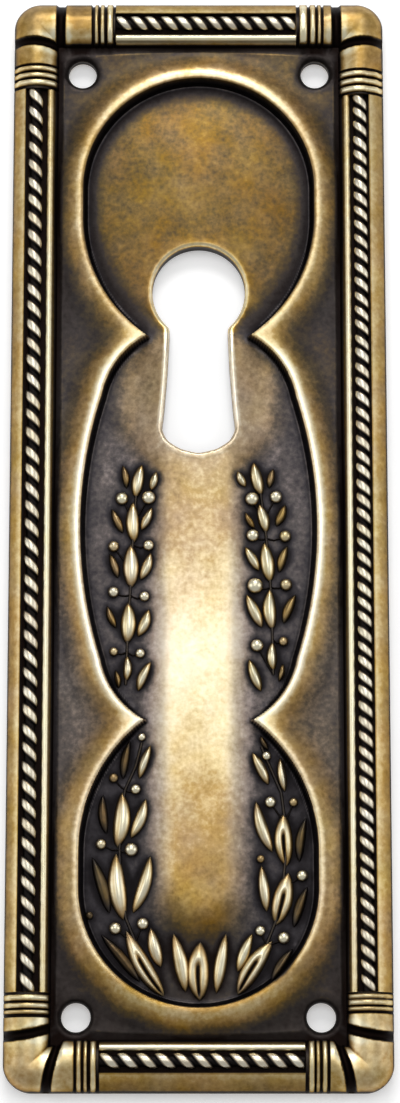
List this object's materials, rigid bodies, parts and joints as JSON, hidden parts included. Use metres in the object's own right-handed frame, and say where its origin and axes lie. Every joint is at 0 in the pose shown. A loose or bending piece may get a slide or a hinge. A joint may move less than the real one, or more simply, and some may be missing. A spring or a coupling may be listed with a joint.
{
  "type": "keyhole escutcheon",
  "caption": "Tall pressed brass keyhole plate with a roped border, a lobed recess with laurel relief, a keyhole and pin holes at its corners.",
  "frame": {"origin": "middle of the back plane on which the rim lies", "axes": "+Z out of the face, +Y along the plate towards the bow of the keyhole, +X to the right of one who looks at the face"},
  "size_m": [0.033, 0.0966, 0.0032],
  "materials": {
    "antique_brass": "aged brass, blackened in the hollows and rubbed bright on the raised work"
  },
  "bodies": {
    "root": {"escutcheon_plate": "antique_brass"}
  },
  "joints": []
}
